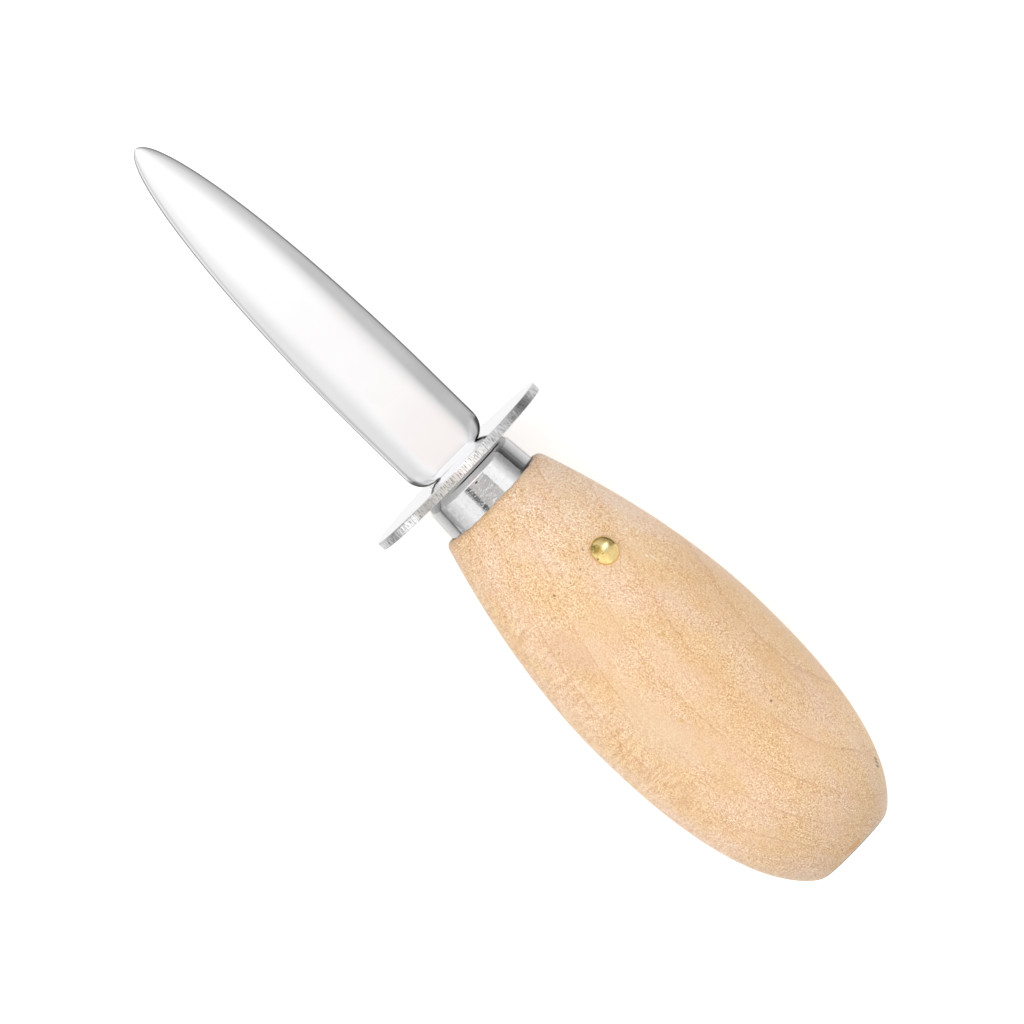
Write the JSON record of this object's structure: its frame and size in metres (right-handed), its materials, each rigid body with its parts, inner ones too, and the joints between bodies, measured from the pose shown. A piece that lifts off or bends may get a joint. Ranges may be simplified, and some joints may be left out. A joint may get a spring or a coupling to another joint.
{
  "type": "oyster knife",
  "caption": "Oyster knife with a short spear-shaped blade, a round flat steel guard, a steel ferrule and a turned pear-shaped wooden handle with a brass pin.",
  "frame": {"origin": "on the surface the knife lies on, below the middle of its length and of its width", "axes": "+X from the butt to the tip, +Z the blade's upper face, +Y the blade's left edge seen from the handle"},
  "size_m": [0.1546, 0.0344, 0.0345],
  "materials": {
    "blade_steel": "fine satin with ground bevels",
    "guard_steel": "polished faces and a blanked rim",
    "ferrule_steel": "polished",
    "handle_wood": "turned and sanded, thin matt oil",
    "epoxy": "cured, hidden",
    "pin_brass": "polished dome"
  },
  "bodies": {
    "root": {"blade": "blade_steel", "guard": "guard_steel", "ferrule": "ferrule_steel", "handle": "handle_wood", "tang_epoxy": "epoxy", "brass_pin": "pin_brass"}
  },
  "joints": []
}
